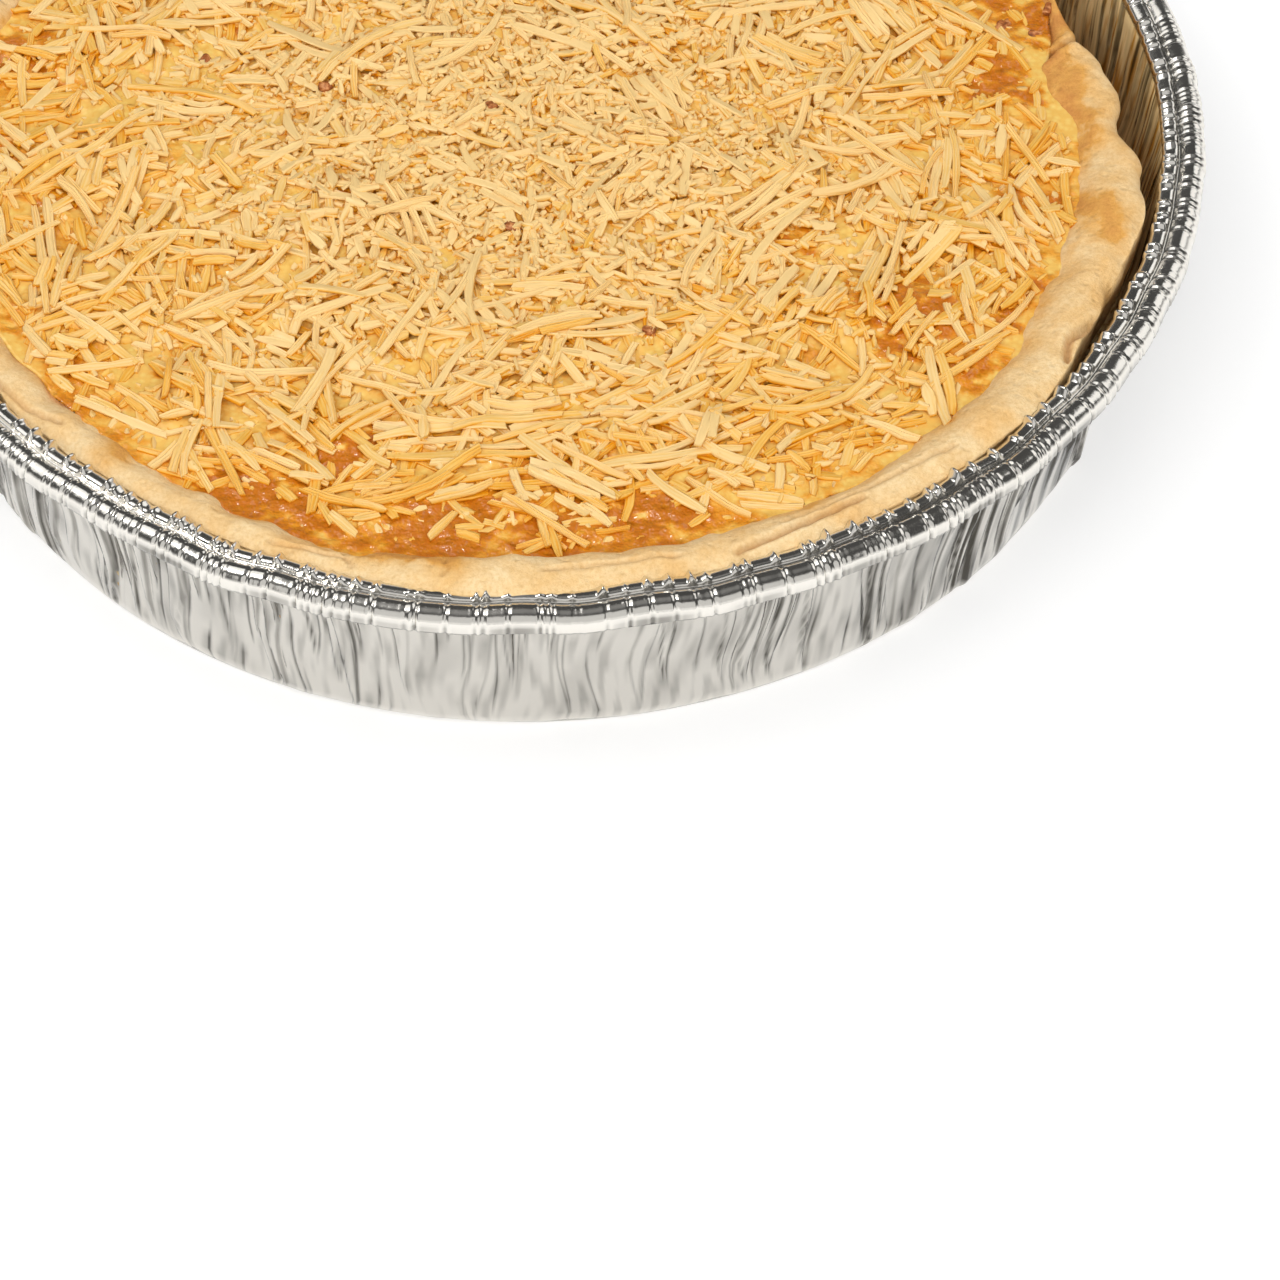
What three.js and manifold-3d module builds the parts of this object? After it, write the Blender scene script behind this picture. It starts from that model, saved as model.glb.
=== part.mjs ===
// A whole baked quiche in its round aluminium foil pan. Millimetres, +Z up.
// The origin is the middle of the pan's underside. Three solids, one inside the other:
//   foil_pan        drawn foil dish with a pleated wall and a rim of two rolled beads
//   pastry_crust    shortcrust case: a floor, a wall and a thick uneven rolled edge
//   cheese_filling  baked egg custard that fills the case, with grated cheese fused to its top
import * as THREE from "three";
import { mergeVertices } from "three/addons/utils/BufferGeometryUtils.js";
import Module from "manifold-3d";

const wasm = await Module();
wasm.setup();

// ---- Driving dimensions ----------------------------------------------------------------------
const GAP = 0.3; // clearance between solids that touch

const PAN_BASE_R = 130; // outer radius where the wall meets the floor
const PAN_WALL_TOP_R = 137; // outer radius of the wall under the rim
const PAN_RIM_R = 145.7; // outermost edge of the rolled rim
const PAN_LIP_Z = 46.5; // underside of the rim
const PAN_HEIGHT = 51; // top of the rim's beads
const FOIL = 0.7; // thickness of the foil solid
const PLEAT_DEPTH = 0.55; // how far the wall's pleats stand in and out

// The case has slid towards the front of the pan and leans a little further that way at its top.
const CASE_BASE_CENTRE = new THREE.Vector2(-1.5, -4);
const CASE_RIM_CENTRE = new THREE.Vector2(-2.5, -6.5);
const CASE_BASE_R = 122.5; // outer radius of the pastry on the pan's floor
const CASE_RIM_R = 130; // mean outer radius of the rolled edge
const CASE_FLOOR = 5.2; // thickness of the pastry floor
const CASE_TOP_Z = 50.4; // mean crest of the rolled edge
const RIM_LIMIT_R = 135.5; // the edge can't pass the pan's inner wall

const FILL_CENTRE = new THREE.Vector2(-2.4, -7);
const FILL_TOP_R = 119.3; // radius at which custard meets pastry on top
const FILL_BASE_R = 115; // radius at the pastry floor
const FILL_EDGE_Z = 47.2; // level of the custard at the pastry
const FILL_DOME = 1.2; // rise of the custard towards its middle

const STEPS = 76; // facets round the pastry and the custard
const PAN_STEPS = 80; // facets round the pan

const SHRED_COUNT = 100;
const SHRED_WIDTH = 2.6;
const SHRED_THICK = 2.0;
const SHRED_LONGEST = 38;
const SHRED_SHORTEST = 15;
const SHRED_SINK = 0.7; // how deep a shred has melted into what it lies on
const SEED = 11;

// ---- Helpers -----------------------------------------------------------------------------------
const radians = THREE.MathUtils.degToRad;
const lerp = THREE.MathUtils.lerp;

// Signed distance in degrees from one bearing to another, in -180..180.
function bearingGap(a, b) {
  return ((((a - b + 180) % 360) + 360) % 360) - 180;
}

// A smooth swelling of height 1 at a bearing, falling off over `width` degrees.
function swell(bearing, at, width) {
  return Math.exp(-((bearingGap(bearing, at) / width) ** 2));
}

// Distance from the origin to a circle about `centre`, seen at a bearing in radians.
function circleReach(centre, radius, angle) {
  const along = centre.x * Math.cos(angle) + centre.y * Math.sin(angle);
  const across = centre.y * Math.cos(angle) - centre.x * Math.sin(angle);
  return along + Math.sqrt(radius * radius - across * across);
}

// A closed body of revolution whose section changes with the bearing. section(angle) gives
// [radius, height] pairs that start and end on the axis, and always as many of them.
function turned(section, steps) {
  const blank = section(0).map(([r, z]) => new THREE.Vector2(r, z));
  const geometry = new THREE.LatheGeometry(blank, steps);
  geometry.rotateX(Math.PI / 2);
  const place = geometry.getAttribute("position");
  for (let step = 0; step <= steps; step++) {
    const angle = ((step % steps) / steps) * 2 * Math.PI;
    section(angle).forEach(([r, z], row) => {
      place.setXYZ(step * blank.length + row, r * Math.cos(angle), r * Math.sin(angle), z);
    });
  }
  return geometry;
}

// A geometry with its shared corners merged, as manifold-3d wants it.
function welded(geometry) {
  const bare = geometry.clone();
  bare.deleteAttribute("normal");
  bare.deleteAttribute("uv");
  return mergeVertices(bare, 1e-3);
}

function toSolid(geometry) {
  const merged = welded(geometry);
  return new wasm.Manifold(
    new wasm.Mesh({
      numProp: 3,
      vertProperties: new Float32Array(merged.getAttribute("position").array),
      triVerts: new Uint32Array(merged.index.array),
    }),
  );
}

function toGeometry(solid) {
  const mesh = solid.getMesh();
  const geometry = new THREE.BufferGeometry();
  geometry.setAttribute("position", new THREE.BufferAttribute(mesh.vertProperties, 3));
  geometry.setIndex(new THREE.BufferAttribute(mesh.triVerts, 1));
  geometry.computeVertexNormals();
  return geometry;
}

// Repeatable random numbers in 0..1.
function randomSource(seed) {
  let state = seed >>> 0;
  return () => {
    state = (state + 0x6d2b79f5) >>> 0;
    let t = state;
    t = Math.imul(t ^ (t >>> 15), t | 1);
    t ^= t + Math.imul(t ^ (t >>> 7), t | 61);
    return ((t ^ (t >>> 14)) >>> 0) / 4294967296;
  };
}

function namedMesh(name, geometry, colour, roughness, metalness) {
  const material = new THREE.MeshStandardMaterial({ color: colour, roughness, metalness });
  const mesh = new THREE.Mesh(geometry, material);
  mesh.name = name;
  return mesh;
}

// ---- Foil pan ----------------------------------------------------------------------------------
// The wall is gathered into uneven vertical pleats, deepest at mid height. Above it the foil is
// rolled into a small inner bead, a groove and a larger outer bead that turns down to a lip.
function pleat(angle) {
  const count = PAN_STEPS / 2;
  const uneven = 0.62 + 0.25 * Math.sin(5 * angle + 1) + 0.13 * Math.sin(13 * angle);
  return PLEAT_DEPTH * uneven * Math.cos(count * angle);
}

// The underside of the rim is open.
function panSection(angle) {
  const fold = pleat(angle);
  const wallAt = (z) => lerp(PAN_BASE_R, PAN_WALL_TOP_R, z / PAN_LIP_Z);
  const wallRow = (z, share, inset) => [wallAt(z) + fold * share - inset, z];
  const rim = (inward, drop) => [PAN_RIM_R - inward, PAN_HEIGHT - drop];
  return [
    [0, 0],
    [PAN_BASE_R - 5, 0],
    [PAN_BASE_R - 1.2 + fold * 0.4, 1],
    wallRow(4, 0.6, 0),
    wallRow(22, 1, 0),
    wallRow(PAN_LIP_Z - 4, 0.6, 0),
    // underside of the rim, from the wall out to the lip
    rim(8.6, 2.6),
    rim(7.4, 1.2),
    rim(5.4, 2.4),
    rim(2.8, 0.9),
    rim(0.9, 2.8),
    rim(1.4, PAN_HEIGHT - PAN_LIP_Z),
    // outside and top of the rim, back to the wall
    rim(0.5, PAN_HEIGHT - PAN_LIP_Z),
    rim(0, 2.7),
    rim(1.1, 0.6),
    rim(3, 0),
    rim(4.9, 1.4),
    rim(6.4, 0.7),
    rim(8.2, 0.3),
    rim(9.3, 1.7),
    wallRow(PAN_LIP_Z - 4, 0.6, FOIL),
    wallRow(22, 1, FOIL),
    wallRow(4, 0.6, FOIL),
    [PAN_BASE_R - 5, FOIL],
    [0, FOIL],
  ];
}

// ---- Pastry case -------------------------------------------------------------------------------
// The rolled edge is pressed by hand, so it swells and pinches in round its length.
// [bearing in degrees, width in degrees, swelling in mm]
const EDGE_SWELLS = [
  [-62, 14, 1],
  [-37, 13, 3.6],
  [-29, 2.2, -0.8],
  [-13, 11, 6.6],
  [-1, 2.5, -1.6],
  [18, 9, -2.7],
  [62, 9, 1.2],
  [84, 7, -1.1],
  [104, 10, 1.4],
  [131, 8, -1.3],
  [158, 10, 1.3],
  [-129, 9, -4.2],
];
// [bearing, width, rise in mm] of the crest
const CREST_SWELLS = [
  [-92, 6, 0.8],
  [-38, 12, 0.7],
  [-12, 8, 0.8],
  [-1, 2.5, -1],
  [13, 5, -2],
  [34, 12, -1],
  [75, 12, 0.8],
  [120, 15, -0.8],
  [165, 12, 0.9],
  [-139, 5, -1.2],
];

function sumOf(swells, bearing) {
  return swells.reduce((total, [at, width, rise]) => total + rise * swell(bearing, at, width), 0);
}

function edgeRadius(angle) {
  const round = circleReach(CASE_RIM_CENTRE, CASE_RIM_R, angle);
  const bearing = THREE.MathUtils.radToDeg(angle);
  return Math.min(round + sumOf(EDGE_SWELLS, bearing), RIM_LIMIT_R);
}

function crestHeight(angle) {
  return CASE_TOP_Z + sumOf(CREST_SWELLS, THREE.MathUtils.radToDeg(angle));
}

// Where pastry and custard meet, from the case's floor up to the custard's edge.
function fillRadius(angle, z) {
  const share = (z - CASE_FLOOR) / (FILL_EDGE_Z - CASE_FLOOR);
  const centre = CASE_BASE_CENTRE.clone().lerp(FILL_CENTRE, share);
  return circleReach(centre, lerp(FILL_BASE_R, FILL_TOP_R, share), angle);
}

function crustSection(angle) {
  const foot = circleReach(CASE_BASE_CENTRE, CASE_BASE_R, angle);
  const edge = edgeRadius(angle);
  const crest = crestHeight(angle);
  const floor = FOIL + GAP;
  const inside = fillRadius(angle, FILL_EDGE_Z);
  const band = edge - inside;
  return [
    [0, floor],
    [foot - 4, floor],
    [foot - 0.4, floor + 3],
    [lerp(foot, edge, 0.5), 24],
    [lerp(foot, edge, 0.9), 40],
    [edge, crest - 3.4],
    [edge - 0.16 * band, crest - 0.8],
    [edge - 0.42 * band, crest],
    [inside + 0.24 * band, crest - 0.7],
    [inside, FILL_EDGE_Z - 0.1],
    [fillRadius(angle, FILL_EDGE_Z - 6), FILL_EDGE_Z - 6],
    [fillRadius(angle, CASE_FLOOR + 3), CASE_FLOOR + 3],
    [fillRadius(angle, CASE_FLOOR) - 2.5, floor + CASE_FLOOR],
    [0, floor + CASE_FLOOR],
  ];
}

// ---- Custard -----------------------------------------------------------------------------------
// The custard puffs and sinks as it bakes: long low waves with a slight dome.
function custardHeight(x, y) {
  const fromMiddle = Math.hypot(x - FILL_CENTRE.x, y - FILL_CENTRE.y) / FILL_TOP_R;
  const dome = FILL_DOME * (1 - fromMiddle ** 2);
  const waves = 0.45 * Math.sin(x / 11 + 1) * Math.cos(y / 13) + 0.35 * Math.sin((x + y) / 7.5);
  return FILL_EDGE_Z + dome + waves * (1 - fromMiddle ** 6);
}

const FILL_RINGS = [1, 0.91, 0.77, 0.6, 0.4, 0.2]; // shares of the top's radius

function fillingSection(angle) {
  const base = FOIL + GAP + CASE_FLOOR + GAP;
  const rim = fillRadius(angle, FILL_EDGE_Z) - GAP;
  const top = FILL_RINGS.map((share) => {
    const r = rim * share;
    return [r, custardHeight(r * Math.cos(angle), r * Math.sin(angle))];
  });
  return [
    [0, base],
    [fillRadius(angle, CASE_FLOOR) - 2.5 - GAP, base],
    [fillRadius(angle, CASE_FLOOR + 3) - GAP, CASE_FLOOR + 3 + GAP],
    [fillRadius(angle, FILL_EDGE_Z - 6) - GAP, FILL_EDGE_Z - 6],
    ...top,
    [0, custardHeight(0, 0)],
  ];
}

// ---- Grated cheese -----------------------------------------------------------------------------
// Shreds fall one by one. Each rests on the custard or on the shreds under it, a little sunk in.
const CELL = 1.5; // spacing of the height map that records what has already fallen

class HeightMap {
  constructor(size) {
    this.cells = Math.ceil((2 * size) / CELL);
    this.size = size;
    this.pile = new Float32Array(this.cells ** 2);
  }
  index(x, y) {
    const column = Math.floor((x + this.size) / CELL);
    const row = Math.floor((y + this.size) / CELL);
    return row * this.cells + column;
  }
  at(x, y) {
    return custardHeight(x, y) + this.pile[this.index(x, y)];
  }
  raise(x, y, top) {
    const spot = this.index(x, y);
    this.pile[spot] = Math.max(this.pile[spot], top - custardHeight(x, y));
  }
}

// A bent strip: a flat section carried along a shallow curve that follows what lies beneath.
function shredGeometry(points) {
  const half = SHRED_WIDTH / 2;
  const section = new THREE.Shape([
    new THREE.Vector2(-SHRED_THICK / 2, -half),
    new THREE.Vector2(SHRED_THICK / 2, -half),
    new THREE.Vector2(SHRED_THICK / 2, half),
    new THREE.Vector2(-SHRED_THICK / 2, half),
  ]);
  const path = new THREE.CatmullRomCurve3(points);
  return new THREE.ExtrudeGeometry(section, { steps: 2, extrudePath: path, bevelEnabled: false });
}

function gratedCheese() {
  const random = randomSource(SEED);
  const map = new HeightMap(CASE_RIM_R + 10);
  const shreds = [];
  const golden = Math.PI * (3 - Math.sqrt(5));
  for (let i = 0; i < SHRED_COUNT; i++) {
    // A sunflower layout spreads them evenly; the longest come first and lie further out.
    const share = Math.sqrt((i + 0.5) / SHRED_COUNT) * 0.88;
    const around = i * golden + random() * 0.5;
    const x = FILL_CENTRE.x + share * FILL_TOP_R * Math.cos(around);
    const y = FILL_CENTRE.y + share * FILL_TOP_R * Math.sin(around);
    const length = lerp(SHRED_SHORTEST, SHRED_LONGEST, random() ** 1.5 * (0.4 + 0.6 * share));
    const heading = random() * Math.PI;
    const bend = (random() - 0.5) * 0.18 * length;
    const points = [-0.5, 0, 0.5].map((t) => {
      const sideways = bend * (1 - 4 * t * t);
      const px = x + t * length * Math.cos(heading) - sideways * Math.sin(heading);
      const py = y + t * length * Math.sin(heading) + sideways * Math.cos(heading);
      return new THREE.Vector3(px, py, 0);
    });
    const outside = points.some(
      (p) => Math.hypot(p.x - FILL_CENTRE.x, p.y - FILL_CENTRE.y) > FILL_TOP_R - 4,
    );
    if (outside) continue;
    for (const p of points) p.z = map.at(p.x, p.y) + SHRED_THICK / 2 - SHRED_SINK;
    // A shred is stiff, so its middle can't sag far below the line of its ends.
    const chord = (points[0].z + points[2].z) / 2;
    points[1].z = Math.max(points[1].z, chord - 0.5);
    const path = new THREE.CatmullRomCurve3(points);
    for (let t = 0; t <= 1.001; t += 0.04) {
      const p = path.getPoint(Math.min(t, 1));
      map.raise(p.x, p.y, p.z + SHRED_THICK / 2);
    }
    shreds.push(shredGeometry(points));
  }
  return shreds;
}

function cheeseFilling() {
  const parts = [turned(fillingSection, STEPS), ...gratedCheese()].map(toSolid);
  const joined = wasm.Manifold.union(parts);
  const pieces = joined.decompose();
  const body = pieces.reduce((best, piece) => (piece.volume() > best.volume() ? piece : best));
  return toGeometry(body);
}

// ---- The quiche --------------------------------------------------------------------------------
const quiche = new THREE.Group();
quiche.add(namedMesh("foil_pan", turned(panSection, PAN_STEPS), 0xc9cac8, 0.25, 1));
quiche.add(namedMesh("pastry_crust", turned(crustSection, STEPS), 0xe3c48d, 0.85, 0));
quiche.add(namedMesh("cheese_filling", cheeseFilling(), 0xf1bf66, 0.5, 0));

export default quiche;
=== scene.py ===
import math

import bmesh
import bpy
import numpy as np
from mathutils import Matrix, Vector
from mathutils.bvhtree import BVHTree


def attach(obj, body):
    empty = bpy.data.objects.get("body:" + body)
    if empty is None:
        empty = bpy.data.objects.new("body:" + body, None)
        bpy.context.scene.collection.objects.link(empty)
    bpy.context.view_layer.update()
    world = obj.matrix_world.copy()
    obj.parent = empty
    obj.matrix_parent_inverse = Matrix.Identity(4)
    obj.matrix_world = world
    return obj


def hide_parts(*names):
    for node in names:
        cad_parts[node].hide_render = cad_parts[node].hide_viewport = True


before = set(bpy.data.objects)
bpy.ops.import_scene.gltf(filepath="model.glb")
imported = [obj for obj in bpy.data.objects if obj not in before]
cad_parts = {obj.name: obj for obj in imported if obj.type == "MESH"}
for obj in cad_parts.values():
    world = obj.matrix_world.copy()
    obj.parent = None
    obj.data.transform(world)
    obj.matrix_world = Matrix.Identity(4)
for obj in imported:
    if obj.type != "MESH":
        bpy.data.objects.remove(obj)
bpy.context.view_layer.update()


# ---- Foil pan --------------------------------------------------------------------------------
# A round baking dish of thin aluminium foil, pressed over a die. The press gathers its wall into
# uneven upright pleats. The rim is rolled out over itself into a small inner bead, a groove and a
# larger outer bead, and where the spare foil has nowhere to go it stands up in sharp crimps.
MM = 0.001
PAN_BASE_R = 130
WALL_LEAN = 0.1505  # radius gained for each millimetre of height
WALL_MID_R = 133  # where lengths along the wall are measured
LIP_Z = 46
FRONT, FRONT_SPAN = -84, 24  # bearing and half width of the front of the wall, in degrees
LAP_AT, LAP_SPAN = -93, 15  # where the pastry lies over the inner bead, in the same way
FOIL = 0.3  # about three times the real thickness, so that it shades as a solid sheet
FOIL_COLOUR = "#E6E2DA"
# Painted shade: the colour that pleats, creases and the lip are darkened towards.
PAINTED_SHADE_COLOUR = "#55534F"  # deep in a pleat, where the foil sees only itself
# Baked butter inside, golden enough to be also a painted reflection of the crust in the gap.
BUTTER_AND_REFLECTION_COLOUR = "#FFE2A6"  # butter baked on the inside of the wall
DRIP_COLOUR = "#CB9442"  # where it ran down and lies thicker

# The wall's section, from the middle of the underside, up the outside and down the inside. Both
# faces have their rows at the same heights, so that pleats never cut through the foil.
wall_up = np.linspace(4.6, 48.6, 11)
wall_out = [(PAN_BASE_R + WALL_LEAN * z, z) for z in wall_up]
wall_section = [(0, 0), (122, 0), (127.4, 0.1), (129.3, 0.8), (130.1, 2.2), *wall_out]
wall_section += [(r - FOIL, z) for r, z in reversed(wall_out)]
wall_section += [(129.7, 2.4), (129, 1.3), (127.2, 0.5), (122, FOIL), (0, FOIL)]
INSIDE_ROW = 16
WALL_STEPS = 3000
# The rim's section, round the underside of the beads, over the lip and back over their tops.
rim_section = [
    (136.7, 47), (137.2, 49.2), (138.6, 49.9), (139.9, 49), (141, 49.9), (142.6, 50.3),
    (144.3, 49.4), (144.9, 48), (144.8, 46.8), (145, 46.2), (145.5, 46.5), (145.55, 47.6),
    (145.6, 48.6), (145.1, 49.9), (144, 50.9), (142.7, 51.2), (141.4, 50.7), (140.5, 49.9),
    (140.1, 49.7), (139.8, 50.2), (139.2, 50.7), (138, 50.5), (136.9, 49.9), (136.4, 48.8),
    (136.7, 47),
]
rim_rows = np.concatenate([[0, 1, 2, 3, 4.5, 6, 7, 8.5, 9.3], np.linspace(10, 24, 23)])
RIM_STEPS = 3000


def through(points, rows):
    """Points on the smooth line through a list of (radius, height), at fractional places in it."""
    points = [np.broadcast_arrays(np.asarray(r, float), np.asarray(z, float)) for r, z in points]
    r, z = [np.stack(np.broadcast_arrays(*[p[k] for p in points])) for k in (0, 1)]
    rows = np.broadcast_to(rows, r.shape[1:]) if r.ndim > 1 else np.asarray(rows, float)
    at = np.clip(np.floor(rows).astype(int), 0, len(points) - 2)
    t = rows - at

    def along(values):
        def pick(shift):
            index = np.clip(at + shift, 0, len(points) - 1)
            if values.ndim > 1:
                return np.take_along_axis(values, index[None], 0)[0]
            return values[index]
        a, b, c, d = (pick(k) for k in (-1, 0, 1, 2))
        return b + 0.5 * t * (c - a + t * (2 * a - 5 * b + 4 * c - d + t * (3 * (b - c) + d - a)))

    return along(r), along(z)


def turn(name, radii, heights, steps):
    """A section, in millimetres, turned about the upright axis into a closed shell. Returns its
    object with the row in the section and the bearing in degrees of each vertex."""
    bm = bmesh.new()
    bmesh.ops.create_grid(bm, x_segments=steps, y_segments=len(radii) - 1, size=1)
    layer = bm.verts.layers.int.new("row")
    last = len(radii) - 1
    closing = []
    for index, vertex in enumerate(bm.verts):
        row, column = divmod(index, steps + 1)
        r, angle = max(radii[row], 0) * MM, column / steps * 2 * math.pi
        vertex.co = (r * math.cos(angle), r * math.sin(angle), heights[row] * MM)
        vertex[layer] = row
        if column in (0, steps) or row in (0, last):
            closing.append(vertex)
    bmesh.ops.remove_doubles(bm, verts=closing, dist=1e-6)
    bmesh.ops.recalc_face_normals(bm, faces=bm.faces)
    mesh = bpy.data.meshes.new(name)
    bm.to_mesh(mesh)
    bm.free()
    mesh.shade_smooth()
    piece = bpy.data.objects.new(name, mesh)
    bpy.context.scene.collection.objects.link(piece)
    count = len(mesh.vertices)
    row = np.zeros(count, np.int32)
    mesh.attributes["row"].data.foreach_get("value", row)
    mesh.attributes.remove(mesh.attributes["row"])
    place = np.zeros(count * 3, np.float32)
    mesh.vertices.foreach_get("co", place)
    place = place.reshape(-1, 3)
    bearing = np.degrees(np.arctan2(place[:, 1], place[:, 0]))
    return piece, row, bearing


def settle(piece, radius, height, bearing):
    """Moves each vertex of a turned piece to its own radius and height, in millimetres."""
    angle = np.radians(bearing)
    place = np.stack([radius * np.cos(angle), radius * np.sin(angle), height], 1) * MM
    piece.data.vertices.foreach_set("co", place.astype(np.float32).ravel())
    piece.data.update()
    return place / MM


def turned_by(a, b):
    """The signed angle from bearing b to bearing a, in degrees."""
    return (a - b + 180) % 360 - 180


def swells(bearing, features):
    """The sum of smooth swellings round the edge, each (bearing, width in degrees, height)."""
    return sum(h * np.exp(-(turned_by(bearing, at) / wide) ** 2) for at, wide, h in features)


def waves(place, length, seed, count=14):
    """Smooth irregular relief between about -1 and 1, with features of a length in millimetres."""
    draw = np.random.default_rng(seed)
    total = np.zeros(len(place))
    for _ in range(count):
        way = draw.normal(size=3)
        way *= draw.uniform(0.7, 1.5) / np.linalg.norm(way)
        total += np.sin(place @ way * 2 * math.pi / length + draw.uniform(0, 2 * math.pi))
    return total / math.sqrt(count)


def stamp(piece, name, values, kind="FLOAT", field="value"):
    """Keeps a number or a vector for each vertex in the mesh, for its material to read."""
    attribute = piece.data.attributes.new(name, kind, "POINT")
    attribute.data.foreach_set(field, np.asarray(values, np.float32).ravel())


draw = np.random.default_rng(21)
out_of_round = [(-128, 10, -1.2), (-100, 8, 0.6), (-45, 9, 0.4), (60, 20, -0.8), (150, 25, 0.7)]


def wall_reach(bearing, height):
    """The radius of the wall's outside before it is pleated, in millimetres."""
    swelling = swells(bearing, out_of_round) * np.clip(height / LIP_Z, 0, 1)
    return PAN_BASE_R + WALL_LEAN * height + swelling


# Pleats: each hangs from the rim like a narrow tongue with a sharp flank at both sides, and closes
# to a point above the base. Finer creases run between them. They crowd at the sides of the pan and
# are few at its front, and the columns of the mesh wander with them, so that they stay crisp. Along
# each flank and each finer crease a dark line of painted shade is drawn into the foil's colour.
radii, heights = np.array(wall_section, float).T
wall, row, bearing = turn("foil_wall", radii, heights, WALL_STEPS)
radius, height = radii[row], heights[row]
on_wall = np.clip((height - 0.6) / 3, 0, 1) * (radius > 127)
whole = 2 * math.pi * WALL_MID_R
arc = np.radians(bearing) * WALL_MID_R
fold, tuck = np.zeros(len(arc)), np.zeros(len(arc))
at = -whole / 2
while at < whole / 2:
    front = math.exp(-((math.degrees(at / WALL_MID_R) - FRONT) / FRONT_SPAN) ** 4)
    gap = arc - at - draw.normal(0, 0.04) * (LIP_Z - height)
    gap = np.abs((gap + whole / 2) % whole - whole / 2)
    near = gap < 6
    side = (arc[near] > at) * 1.0
    z, gap = height[near], gap[near]
    foot = draw.choice([draw.uniform(-6, 8), draw.uniform(8, 34)], p=[0.5, 0.5])
    deep = draw.uniform(0.55, 1)
    if draw.random() < 0.55:
        half = draw.uniform(0.6, 1.8) * np.clip((z - foot) / draw.uniform(14, 34), 0, 1) ** 0.7
        flank = draw.uniform(0.35, 0.7)
        size = draw.choice([-0.55, 1], p=[0.3, 0.7]) * draw.uniform(0.4, 1)
        tongue = np.clip((half + flank / 2 - gap) / flank, 0, 1)
        fold[near] += size * tongue**2 * (3 - 2 * tongue) * np.clip((z - foot) / 5, 0, 1)
        share = draw.uniform(0.3, 1) * side + draw.uniform(0.3, 1) * (1 - side)
        line = deep * share * np.exp(-(((gap - half) / (0.3 - 0.06 * front)) ** 2))
        line = line * np.clip((z - foot + 2) / 4, 0, 1)
    else:
        ends = np.clip((z - foot) / 4, 0, 1) * np.clip((foot + draw.uniform(12, 40) - z) / 6, 0, 1)
        line = 0.8 * deep * np.exp(-((gap / (0.28 - 0.05 * front)) ** 2)) * ends
        fold[near] -= 0.35 * line
    tuck[near] = np.maximum(tuck[near], line)
    at += draw.uniform(0.9, 2.6) if draw.random() > 0.14 * front else draw.uniform(4, 10)

# The foil is also slack between its pleats, and it buckles a little where the wall meets the base.
# Its colour is darkened as painted shade: a little all over, more deep in a pleat, in soft bands
# and along fine wrinkle lines that are only painted, less at the front, and most in streaks over
# the right of the wall, where it is a painted reflection of the shadowed table.
slack = waves(np.stack([arc, height * 0.25, 0 * arc], 1), 24, 5) * 0.4
soft = np.clip(waves(np.stack([arc, height * 0.4, 0 * arc], 1), 9, 9), 0, 1) * 0.14
painted_wrinkle_shade = np.clip(waves(np.stack([arc, height * 0.12, 0 * arc], 1), 2.2, 19), 0, 1) * 0.24
facets = waves(np.stack([arc, 0 * arc, 0 * arc], 1), 11, 6) * 0.5 * np.clip(1 - height / 14, 0, 1)
shift = (fold + slack + facets) * on_wall
radius = radius + np.maximum(shift, -0.5 - 0.1 * np.tanh(-0.5 - shift))
radius = radius + (wall_reach(bearing, height) - PAN_BASE_R - WALL_LEAN * height) * on_wall
sway = waves(np.stack([arc, height, 0 * arc], 1), 27, 8) * 1.25 * on_wall
settle(wall, radius, height, bearing + np.degrees(sway / WALL_MID_R))
stamp(wall, "inside", (row >= INSIDE_ROW).astype(float))
# Painted reflection of the shadowed table, in dark streaks over the right of the wall.
painted_dark_side = np.exp(-((turned_by(bearing, -32) / 22) ** 2))
calm = np.exp(-((turned_by(bearing, FRONT) / FRONT_SPAN) ** 4))
streak = np.clip(waves(np.stack([arc, height * 0.08, 0 * arc], 1), 5, 17) + 0.3, 0, 1)
tuck = tuck * (1 + painted_dark_side - 0.3 * calm) + soft + painted_wrinkle_shade + 0.19 + 0.7 * painted_dark_side * streak
stamp(wall, "tuck", np.clip(tuck, 0, 1) * on_wall)


# Crimps: upright fins of spare foil on the inner bead, pinched lines over the outer one, with the
# foil between two crimps standing out like a small pillow.
radii, heights = through(rim_section, rim_rows)
rim, row, bearing = turn("foil_rim", radii, heights, RIM_STEPS)
radius, height = radii[row], heights[row]
step = np.round(bearing / 360 * RIM_STEPS).astype(int) % RIM_STEPS
round_trip = np.arange(RIM_STEPS) / RIM_STEPS * whole
crimps = [0.0]  # in mm along the bead
while crimps[-1] < whole - 3:
    spacings = [draw.uniform(1.6, 2.4), draw.uniform(3, 6.5)]
    crimps.append(crimps[-1] + draw.choice(spacings, p=[0.3, 0.7]))
fins, pinches, pillows = (np.zeros(RIM_STEPS) for _ in range(3))
for at, after in zip(crimps, crimps[1:] + [whole]):
    gap = (round_trip - at + whole / 2) % whole - whole / 2
    tall, near, far = draw.uniform(0.7, 2.5), draw.uniform(0.5, 1.4), draw.uniform(0.5, 1.4)
    fins = np.maximum(fins, tall * np.clip(1 - np.abs(gap) / np.where(gap < 0, near, far), 0, 1))
    for k in range(draw.choice([1, 2, 3], p=[0.55, 0.3, 0.15])):
        off = gap - k * draw.uniform(0.8, 1.2)
        deep = draw.uniform(0.4, 1)
        ridges = np.exp(-(((np.abs(off) - 0.75) / 0.35) ** 2))
        pinches += deep * (np.exp(-((off / 0.33) ** 2)) - 0.55 * ridges)
    share = np.clip((round_trip - at) / (after - at), 0, 1)
    pillow = np.sin(math.pi * share) ** 0.7 * (share > 0) * (share < 1)
    pillows += draw.uniform(0.3, 1) * pillow

over = rim_rows[row] > 9.5
on_inner = over * np.clip((140.1 - radii[row]) / 0.5, 0, 1)
on_inner = on_inner * np.clip((heights[row] - 48.4) / 1.6, 0, 1)
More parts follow.
